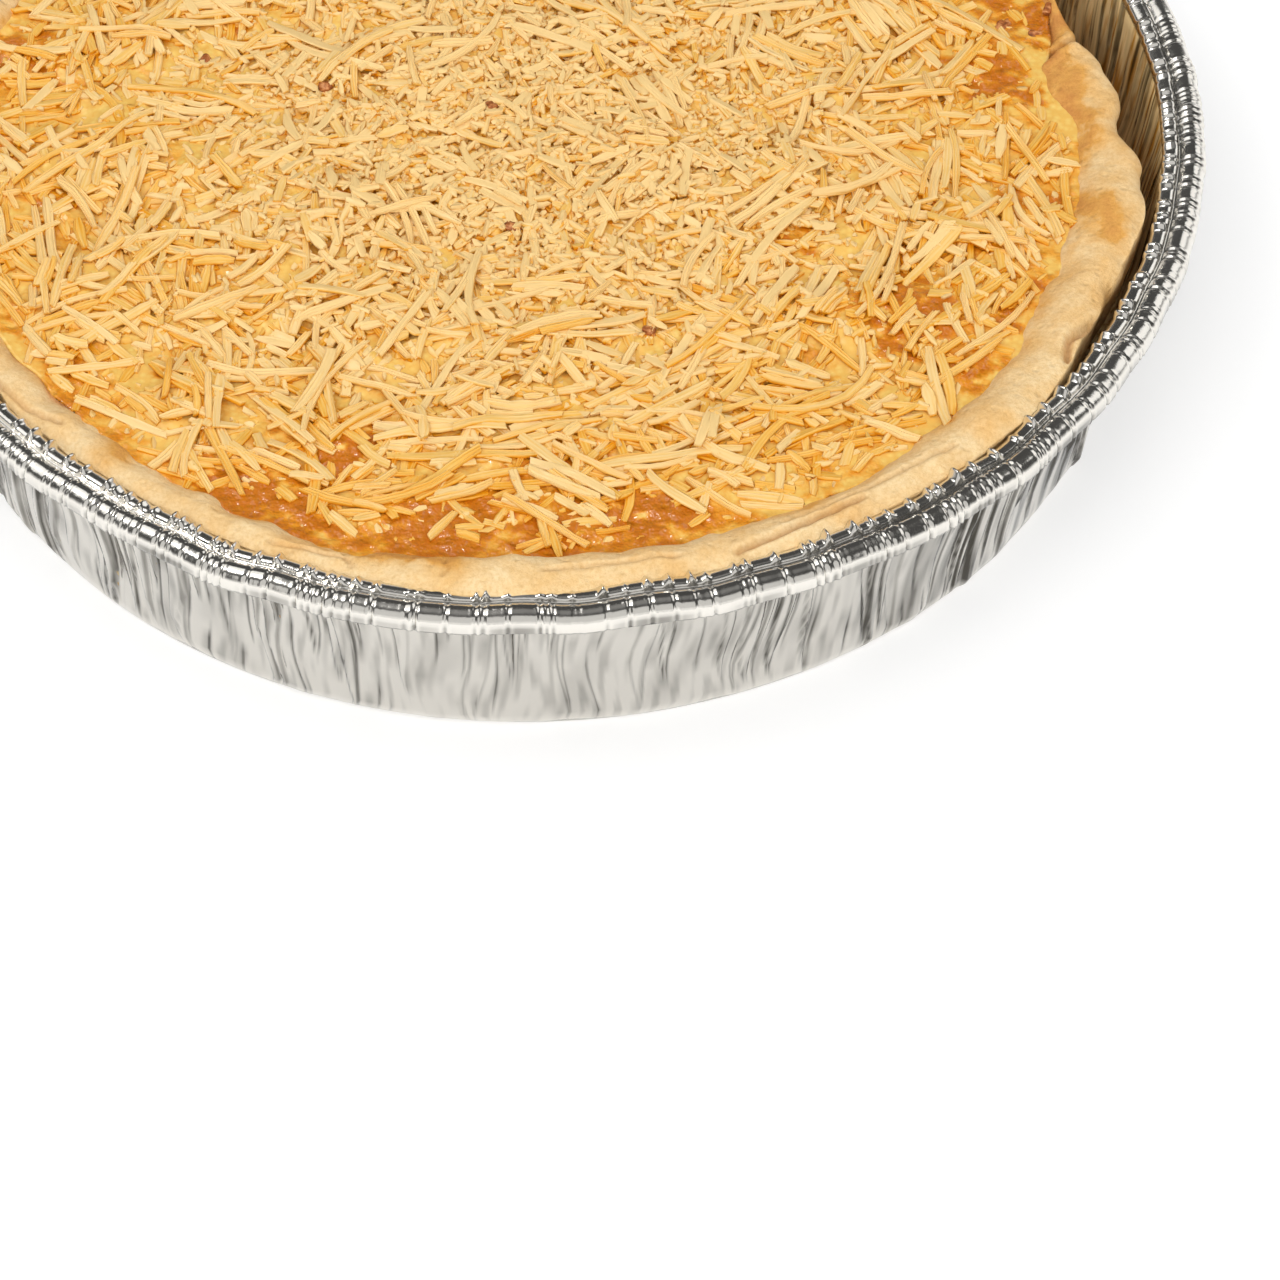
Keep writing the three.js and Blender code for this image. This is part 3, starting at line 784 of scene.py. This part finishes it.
# Sections across a strip, as shares of half its width and half its thickness.
RIBBED = [(-0.85, -1), (-1, -0.4), (-0.97, 0.45), (-0.7, 0.95), (-0.3, 0.5), (0.12, 1), (0.48, 0.5),
          (0.78, 0.9), (1, 0.35), (1, -0.4), (0.85, -1)]
CHIP = [(-0.75, -1), (-1, 0.1), (-0.55, 1), (0.6, 0.9), (1, -0.1), (0.7, -1)]
BIT = [(-0.8, -1), (-1, 0.4), (0.1, 1), (1, 0.3), (0.7, -1)]
# Sizes in mm. The kinds that have the larger "later" lie higher in the pile.
LONG = {
    "count": 1310, "length": (7, 23), "width": (1.4, 2.3), "thick": (0.7, 1.15), "stations": 7,
    "section": RIBBED, "later": 0.28,
}
BROKEN = {
    "count": 2300, "length": (4, 11), "width": (1.3, 2.4), "thick": (0.6, 1.05), "stations": 4,
    "section": RIBBED, "later": 0.05,
}
CRUMB = {
    "count": 5000, "length": (1.8, 4.6), "width": (1.1, 1.9), "thick": (0.8, 1.2), "stations": 3,
    "section": CHIP, "later": 0,
}
GRAIN = {
    "count": 6000, "length": (0.8, 1.8), "width": (0.9, 1.5), "thick": (0.7, 1.1), "stations": 3,
    "section": BIT, "later": 0,
}
CHEESE_COLOURS = {"pale": "#F1CD8B", "cheese": "#EDBA5A", "orange": "#E69B14", "toasted": "#D68006"}
BARE = [  # x, y, spread in mm, share left bare
    (-103, -58, 9, 0.9), (-98, -38, 7, 0.6), (-104, -30, 6, 0.6), (-112, 12, 8, 0.7),
    (-108, 28, 6, 0.6), (-83, 20, 3.5, 0.7), (-66, 33, 4.5, 0.5), (-36, -94, 5, 0.85),
    (-51, -108, 8, 0.7), (-40, -116, 8, 0.9), (-16, -117, 10, 0.8), (8, -115, 7, 0.6),
    (24, -112, 7, 0.8), (-4, -112, 5, 0.5), (45, -109, 7, 0.8), (58, -36, 4.5, 0.7),
    (80, -54, 6, 0.6), (95, -74, 5, 0.7), (74, -66, 6, 0.6), (62, -71, 5, 0.7), (102, 14, 6, 0.7),
    (110, 4, 7, 0.85), (109, 19, 7, 0.95), (94, 23, 6, 0.5), (113, -3, 4, 0.6), (110, 32, 10, 0.98),
    (-60, -108, 5, 0.7), (-39, -99, 5, 0.6), (82, -55, 5, 0.6), (106, -50, 4, 0.5),
    (32, 0, 5, 0.65), (21, -20, 5, 0.65), (-24, -68, 6, 0.65), (-52, -56, 6, 0.6),
    (-73, -8, 6, 0.6), (102, 44, 7, 0.8), (-60, 85, 8, 0.7), (10, 98, 8, 0.7), (70, 75, 8, 0.7),
    (-20, 60, 5, 0.6), (-98, 50, 8, 0.7),
]
# The height of the pile so far, in cells of a square grid, starting from custard and pastry.
CELL = 0.5
HALF = 140.0
coarse = np.full((int(2 * HALF), int(2 * HALF)), 40.0)
shells = [
    BVHTree.FromPolygons([v.co for v in o.data.vertices], [p.vertices for p in o.data.polygons])
    for o in (crust, custard)
]
for iy, ix in np.ndindex(coarse.shape):
    x, y = ix + 0.5 - HALF, iy + 0.5 - HALF
    if math.hypot(x, y) < 134:
        above = Vector((x * MM, y * MM, 0.07))
        hits = [shell.ray_cast(above, Vector((0, 0, -1)))[0] for shell in shells]
        coarse[iy, ix] = max([h.z / MM for h in hits if h is not None], default=40.0)
pile = coarse.repeat(2, 0).repeat(2, 1)


def crumbly(x, y):
    """How much the cheese is crumbs rather than strips: most in the middle."""
    return 0.12 + 0.8 * math.exp(-(((x - 2) / 62) ** 2 + ((y + 2) / 58) ** 2) ** 1.5)


def kept(x, y, draw):
    """Whether a strip that falls here stays: few do at the custard's edge and on bare patches."""
    bearing = math.degrees(math.atan2(y, x))
    room = float(custard_edge(np.array([bearing]))[0]) - math.hypot(x, y)
    wide = 3 + 7 * math.exp(-(((bearing + 92) / 26) ** 2))
    share = min(max((room - 0.5) / wide, 0), 1)
    for px, py, spread, bare in BARE:
        share *= 1 - bare * math.exp(-((x - px) ** 2 + (y - py) ** 2) / spread**2)
    return draw.random() < share


def lay(x, y, kind, heading, draw):
    """Lays one strip on the pile. Returns the corners of its rings, with each one's place in the
    strip's own grain, or nothing where it would leave the quiche."""
    # Its size and its middle line, seen from above.
    low, high = kind["length"]
    length = low + (high - low) * draw.random() ** 1.5
    if kind is LONG and draw.random() < 0.05:
        length = draw.uniform(24, 34)
    width, thick = draw.uniform(*kind["width"]), draw.uniform(*kind["thick"])
    n = kind["stations"]
    s = np.linspace(-0.5, 0.5, n) * length
    bend = draw.normal(0, 0.02) if length > 8 else draw.normal(0, 0.03)
    way = heading + bend * s + draw.normal(0, 0.0008) * s * s
    px = x + np.concatenate([[0], np.cumsum(np.cos((way[1:] + way[:-1]) / 2) * np.diff(s))])
    py = y + np.concatenate([[0], np.cumsum(np.sin((way[1:] + way[:-1]) / 2) * np.diff(s))])
    px, py = px - px.mean() + x, py - py.mean() + y
    if (np.hypot(px, py) > custard_edge(np.degrees(np.arctan2(py, px))) + 1.5).any():
        return None
    # The pile under its middle and near both its sides.
    m = max(int(length / 0.8), 3)
    t = np.linspace(-0.5, 0.5, m) * length
    fx, fy = np.interp(t, s, px), np.interp(t, s, py)
    nx, ny = -np.sin(np.interp(t, s, way)), np.cos(np.interp(t, s, way))
    reads = []
    for side in (-0.36, 0, 0.36):
        ix = ((fx + nx * side * width + HALF) / CELL).astype(int)
        iy = ((fy + ny * side * width + HALF) / CELL).astype(int)
        reads.append(pile[iy, ix])
    left, middle, right = reads
    # It sags on to that, stiffly, and sinks a little into the highest points.
    under = np.maximum(middle, (left + right) / 2)
    slope, level = np.polyfit(t, under, 1)
    straight = np.clip(slope, -0.22, 0.22) * t + level
    soft = np.convolve(np.pad(under, 3, mode="edge"), np.ones(7) / 7, "valid")
    rest = 0.7 * soft + 0.3 * straight
    rest = rest + max(np.percentile(under - rest, 75) - 0.35, -0.35)
    rest = np.maximum(rest, under - 0.8)
    rest = np.convolve(np.pad(rest, 1, mode="edge"), [0.25, 0.5, 0.25], "valid")
    small = kind is CRUMB or kind is GRAIN
    z = np.interp(s, t, rest) + thick * (0.08 if small else 0.36)
    # Its section leans with the pile, twists and tapers, and its ends are broken off askew.
    loose = 0.2 if small else 0.12
    tilt = np.clip(np.mean(right - left) / (0.72 * width), -0.5, 0.5) * 0.7 + draw.normal(0, loose)
    twist = tilt + draw.normal(0, 0.012) * s
    half = np.array(kind["section"]) * (width / 2, thick / 2)
    if draw.random() < 0.5:
        half = half * (-1, 1)
    around = np.concatenate([[0], np.cumsum(np.hypot(*np.diff(half, axis=0).T))])
    taper = 1 + draw.normal(0, 0.09, n)
    ends = (0.6, 1) if n > 3 else (0.45, 0.8)
    taper[0] *= draw.uniform(*ends)
    taper[-1] *= draw.uniform(*ends)
    skew = np.zeros(n)
    skew[0], skew[-1] = draw.normal(0, 0.4, 2)
    dx, dy = np.cos(way), np.sin(way)
    u = half[:, 0][None] * taper[:, None]
    v = half[:, 1][None] * (0.75 + 0.25 * taper[:, None])
    c, k = np.cos(twist)[:, None], np.sin(twist)[:, None]
    across, up = u * c - v * k, u * k + v * c
    ahead = skew[:, None] * u
    corners = np.stack([
        px[:, None] - dy[:, None] * across + dx[:, None] * ahead,
        py[:, None] + dx[:, None] * across + dy[:, None] * ahead,
        z[:, None] + up,
    ], 2)
    corners += draw.normal(0, 0.05 if n > 3 else 0.1, corners.shape)
    # The pile is higher now.
    fill = np.linspace(-0.5, 0.5, max(int(width / 0.45), 2)) * width * 0.94
    gx = (fx[:, None] + nx[:, None] * fill + HALF) / CELL
    gy = (fy[:, None] + ny[:, None] * fill + HALF) / CELL
    top = np.interp(t, s, z)[:, None] + thick / 2 + fill * np.mean(twist)
    np.maximum.at(pile, (gy.astype(int), gx.astype(int)), np.broadcast_to(top, gx.shape))
    grain = np.stack([
        np.broadcast_to(around, (n, len(around))), np.broadcast_to(s[:, None], (n, len(around))),
        np.full((n, len(around)), draw.uniform(0, 40)),
    ], 2)
    return corners, grain, np.broadcast_to(np.array(kind["section"])[:, 1], (n, len(around)))


def strips(name, laid):
    """Joins laid strips into one mesh: a tube of rings for each, with both ends closed."""
    places, grains, tones, faces = [], [], [], []
    start = 0
    for corners, grain, height, tone in laid:
        n, sides, _ = corners.shape
        places.append(corners.reshape(-1, 3))
        grains.append(grain.reshape(-1, 3))
        # Painted shade: each strip is painted deeper in tone on its lower side and where it lies
        # low.
        sunk = cover_at(corners[..., 0], corners[..., 1]) - corners[..., 2]
        sunk = np.clip(sunk / 1.2, -0.2, 1)
        tones.append(tone + 0.04 - 0.32 * height.ravel() + 0.45 * sunk.ravel())
        for i in range(n - 1):
            for j in range(sides):
                a, b = start + i * sides + j, start + i * sides + (j + 1) % sides
                faces.append((a, b, b + sides, a + sides))
        faces.append(tuple(start + j for j in reversed(range(sides))))
        faces.append(tuple(start + (n - 1) * sides + j for j in range(sides)))
        start += n * sides
    mesh = bpy.data.meshes.new(name)
    mesh.from_pydata((np.concatenate(places) * MM).tolist(), [], faces)
    bm = bmesh.new()
    bm.from_mesh(mesh)
    bmesh.ops.recalc_face_normals(bm, faces=bm.faces)
    bm.to_mesh(mesh)
    bm.free()
    mesh.shade_smooth()
    mesh.set_sharp_from_angle(angle=math.radians(60))
    piece = bpy.data.objects.new(name, mesh)
    bpy.context.scene.collection.objects.link(piece)
    stamp(piece, "grain", np.concatenate(grains), "FLOAT_VECTOR", "vector")
    stamp(piece, "tone", np.concatenate(tones))
    return piece


draw = np.random.default_rng(77)
KINDS = {
    "cheese_strips": LONG, "cheese_broken_strips": BROKEN,
    "cheese_crumbs": CRUMB, "cheese_grains": GRAIN,
}
STREWN_R = 119
order = []
for name, kind in KINDS.items():
    order += [(draw.random() + kind["later"], name) for _ in range(kind["count"])]
order.sort()
laid = {name: [] for name in KINDS}
beside = 0
for index, (_, name) in enumerate(order):
    kind = KINDS[name]
    # The later pieces lie higher and are painted paler, the earlier, lower ones deeper: painted
    # shade.
    spot_age = index / len(order)  # the last to fall lie highest and palest
    if beside and name == "cheese_strips":
        # The next strip of a bundle sticks to the side of the last one.
        beside -= 1
        x -= math.sin(heading) * draw.uniform(1.7, 2.7) + draw.normal(0, 2.5) * math.cos(heading)
        y += math.cos(heading) * draw.uniform(1.7, 2.7) + draw.normal(0, 2.5) * math.sin(heading)
        heading += draw.normal(0, 0.07)
        spot = (x, y, heading)
    else:
        for _ in range(30):
            r, a = STREWN_R * math.sqrt(draw.random()), draw.uniform(0, 2 * math.pi)
            px, py = CUSTARD_AT[0] + r * math.cos(a), CUSTARD_AT[1] + r * math.sin(a)
            mix = crumbly(px, py)
            wanted = {"cheese_strips": 1 - 0.72 * mix, "cheese_broken_strips": 0.62}.get(name, mix)
            if draw.random() < wanted and kept(px, py, draw):
                break
        else:
            continue
        turn_to = draw.uniform(0, math.pi)
        if math.hypot(px, py) > 80 and draw.random() < 0.4:
            turn_to = math.atan2(py, px) + math.pi / 2 + draw.normal(0, 0.5)
        spot = (px, py, turn_to)
        if name == "cheese_strips":
            x, y, heading = spot
            beside = int(draw.choice([0, 1, 2, 3], p=[0.5, 0.25, 0.15, 0.1]))
    put = lay(spot[0], spot[1], kind, spot[2], draw)
    if put is not None:
        outer = min(max((math.hypot(spot[0] + 2, spot[1] + 7) - 40) / 75, 0), 1)
        # Deeper towards the edge of the quiche; painted paler for later, higher pieces as painted
        # shade.
        tone = 0.31 + 0.31 * outer + draw.normal(0, 0.17) - 0.3 * (spot_age - 0.5)
        tone -= 0.1 if name in ("cheese_crumbs", "cheese_grains") else 0
        laid[name].append((*put, float(np.clip(tone, 0, 0.7))))

# The light soaks deep into cheese and custard alike; in its place both are painted deeper in
# colour low in the pile, as painted shade.
cover = sum(np.roll(np.roll(pile, i, 0), j, 1) for i in range(-2, 3) for j in range(-2, 3)) / 25


def cover_at(x, y):
    """The height of the pile about each point, in millimetres."""
    ix, iy = (np.clip((np.asarray(v) + HALF) / CELL, 0, len(pile) - 1).astype(int) for v in (x, y))
    return cover[iy, ix]


# Painted shade: the custard is deepened in colour where the cheese pile stands above it.
sunk = cover_at(custard_place[:, 0], custard_place[:, 1]) - custard_place[:, 2]
shaded = np.clip((sunk - 0.3) / 1.5, 0, 1) * top
brown = np.clip(brown + 0.2 * shaded, 0, 1).astype(np.float32)
custard.data.attributes["brown"].data.foreach_set("value", brown)

# Grated hard cheese: waxy, so a dull shine, with fine lines left along each strip by the grater.
# Its tone carries painted shade, deeper on each strip's underside and low in the pile.
GRATER_LINE = 0.526  # in mm, on the strip's own grain
material, tree, shader = surface("grated hard cheese", Roughness=0.36, IOR=1.36)
tone = add(tree, "ShaderNodeAttribute", {"attribute_name": "tone"})
grain = add(tree, "ShaderNodeAttribute", {"attribute_name": "grain"})
line = add(
    tree, "ShaderNodeMapping", {},
    {"Vector": grain.outputs["Vector"], "Scale": (1 / GRATER_LINE, 0.1, 1)},
)
lines = add(
    tree, "ShaderNodeTexNoise", {},
    {"Vector": line.outputs["Vector"], "Scale": 1, "Detail": 3, "Roughness": 0.6},
)
shift = add(
    tree, "ShaderNodeMapRange", {},
    {"Value": lines.outputs["Fac"], "To Min": -0.34, "To Max": 0.34},
)
mixed = add(
    tree, "ShaderNodeMath", {"operation": "ADD"},
    {0: tone.outputs["Fac"], 1: shift.outputs["Result"]},
)
colour = add(
    tree, "ShaderNodeValToRGB",
    {"ramp": [(0.05, CHEESE_COLOURS["pale"]), (0.38, CHEESE_COLOURS["cheese"]),
              (0.68, CHEESE_COLOURS["orange"]), (1.0, CHEESE_COLOURS["toasted"])]},
    {"Fac": mixed.outputs[0]},
)
tree.links.new(colour.outputs["Color"], shader.inputs["Base Color"])
bump = add(
    tree, "ShaderNodeBump", {},
    {"Height": lines.outputs["Fac"], "Strength": 0.5, "Distance": 0.3 * MM},
)
tree.links.new(bump.outputs["Normal"], shader.inputs["Normal"])
for name, pieces in laid.items():
    piece = strips(name, pieces)
    piece.data.materials.append(material)
    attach(piece, "root")


# ---- Ham bits --------------------------------------------------------------------------------
# Diced cured ham out of the filling. A few bits have risen through the custard, dried in the oven
# and lie half sunk among the cheese and on the cracked part of the edge.
HAM_COLOURS = {"pink": "#DE9C62", "cured": "#A9602C", "dried": "#6E3A14"}
HAM = [  # x, y, length in mm
    (-44, 11, 3.2), (-62, -40, 3), (-3, -32, 3.4), (26, -63, 3), (104, 33, 4.5), (111, 30, 4),
    (114, 37, 3.6), (-8, 4, 3), (-71, 22, 3), (-96, 40, 4), (18, 84, 4), (-50, 92, 4),
    (62, 66, 3.5),
]
draw = np.random.default_rng(5)
bm = bmesh.new()
for x, y, long in HAM:
    ix, iy = int((x + HALF) / CELL), int((y + HALF) / CELL)
    z = np.percentile(pile[iy - 2 : iy + 3, ix - 2 : ix + 3], 60)
    lump = bmesh.ops.create_icosphere(bm, subdivisions=3, radius=1)["verts"]
    place = np.array([v.co[:] for v in lump])
    corner = 1 + 0.16 * waves(place, 1.3, int(draw.integers(1, 999)), 8)
    corner = corner + 0.07 * waves(place, 0.5, int(draw.integers(1, 999)), 8)
    place = np.sign(place) * np.abs(place) ** 0.75 * corner[:, None]
    place *= (long * 0.5, long * draw.uniform(0.3, 0.45), draw.uniform(0.8, 1.1))
    c, k = math.cos(draw.uniform(0, 3.1)), math.sin(draw.uniform(0, 3.1))
    turned = np.hypot(c, k)
    place[:, :2] = place[:, :2] @ np.array([[c, k], [-k, c]]) / turned
    for vertex, spot in zip(lump, place + (x, y, z - 0.7)):
        vertex.co = spot * MM
bmesh.ops.recalc_face_normals(bm, faces=bm.faces)
mesh = bpy.data.meshes.new("ham_bits")
bm.to_mesh(mesh)
bm.free()
mesh.shade_smooth()
ham = bpy.data.objects.new("ham_bits", mesh)
bpy.context.scene.collection.objects.link(ham)

# Cured ham: pink fibres, brown and glossy where the heat has dried it.
HAM_FIBRE = 1.33  # in mm
material, tree, shader = surface("cured ham", Roughness=0.45, IOR=1.36)
where = add(tree, "ShaderNodeTexCoord").outputs["Object"]
fibre = add(
    tree, "ShaderNodeTexNoise", {},
    {"Vector": where, "Scale": cells(HAM_FIBRE), "Detail": 4, "Roughness": 0.6},
)
colour = add(
    tree, "ShaderNodeValToRGB",
    {"ramp": [(0.3, HAM_COLOURS["dried"]), (0.5, HAM_COLOURS["cured"]),
              (0.68, HAM_COLOURS["pink"])]},
    {"Fac": fibre.outputs["Fac"]},
)
tree.links.new(colour.outputs["Color"], shader.inputs["Base Color"])
bump = add(
    tree, "ShaderNodeBump", {},
    {"Height": fibre.outputs["Fac"], "Strength": 0.6, "Distance": 0.6 * MM},
)
tree.links.new(bump.outputs["Normal"], shader.inputs["Normal"])
ham.data.materials.append(material)
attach(ham, "root")


# ---- Table, light and camera -----------------------------------------------------------------
# A white table under soft lights: the main one high at the left, beside it a small lamp that only
# gives glints, a weak panel in front, a reflector at the right and two fills that nothing mirrors.
# The room is dark, and shows in the foil as black lines between the highlights.
bm = bmesh.new()
bmesh.ops.create_grid(bm, x_segments=1, y_segments=1, size=6)
mesh = bpy.data.meshes.new("table_top")
bm.to_mesh(mesh)
bm.free()
table = bpy.data.objects.new("table_top", mesh)
bpy.context.scene.collection.objects.link(table)
TABLE_COLOUR = "#F2F2F2"
material, *_ = surface(
    "white acrylic over a weak lamp", Roughness=0.9, Base_Color=linear(TABLE_COLOUR),
    Emission_Color=(1, 1, 1, 1), Emission_Strength=0.24,
)
table.data.materials.append(material)

# Sizes and places in metres, with each lamp's radiance and whether shiny things mirror it.
for name, size, radiance, mirrored, spot in (
    ("key_softbox", (1.6, 1.4), 1.08, True, (-1.01, 0.27, 1.34)),
    ("sparkle_lamp", (0.3, 0.3), 28, True, (-0.75, -0.2, 1.3)),
    ("front_panel", (3.6, 1.8), 0.65, True, (0.1, -1.8, 1.0)),
    ("right_reflector", (1.6, 1.2), 1.1, True, (1.45, 0.8, 1.0)),
    ("ceiling_fill", (6.0, 6.0), 0.5, False, (0.1, -0.3, 1.8)),
    ("front_fill", (2.4, 1.6), 1.6, False, (0.0, -1.35, 1.4)),
):
    light = bpy.data.lights.new(name, "AREA")
    light.shape = "RECTANGLE"
    light.size, light.size_y = size
    light.energy = radiance * math.pi * size[0] * size[1]
    lamp = bpy.data.objects.new(name, light)
    lamp.location = spot
    lamp.visible_glossy = mirrored
    lamp.visible_diffuse = name != "sparkle_lamp"
    lamp.rotation_euler = (Vector((0, 0, 0.04)) - Vector(spot)).to_track_quat("-Z", "Y").to_euler()
    bpy.context.scene.collection.objects.link(lamp)

world = bpy.data.worlds.new("low white backdrop under a dark ceiling")
bpy.context.scene.world = world
world.use_nodes = True
tree = world.node_tree
sky = add(tree, "ShaderNodeTexCoord")
parts = add(tree, "ShaderNodeSeparateXYZ", {}, {"Vector": sky.outputs["Generated"]})
rise = add(
    tree, "ShaderNodeValToRGB",
    {"ramp": [(0.0, 0.8), (0.08, 0.65), (0.22, 0.07), (0.88, 0.07), (0.99, 0.24)]},
    {"Fac": parts.outputs["Z"]},
)
tree.links.new(rise.outputs["Color"], tree.nodes["Background"].inputs["Color"])

lens = bpy.data.cameras.new("camera")
lens.sensor_width = 36
lens.lens = 154.69
lens.clip_start = 0.05
camera = bpy.data.objects.new("camera", lens)
camera.location = (0.0241, -0.87, 0.8636)
camera.rotation_euler = (math.radians(41.5), 0, 0)
bpy.context.scene.collection.objects.link(camera)
bpy.context.scene.camera = camera
bpy.context.scene.view_settings.view_transform = "Standard"
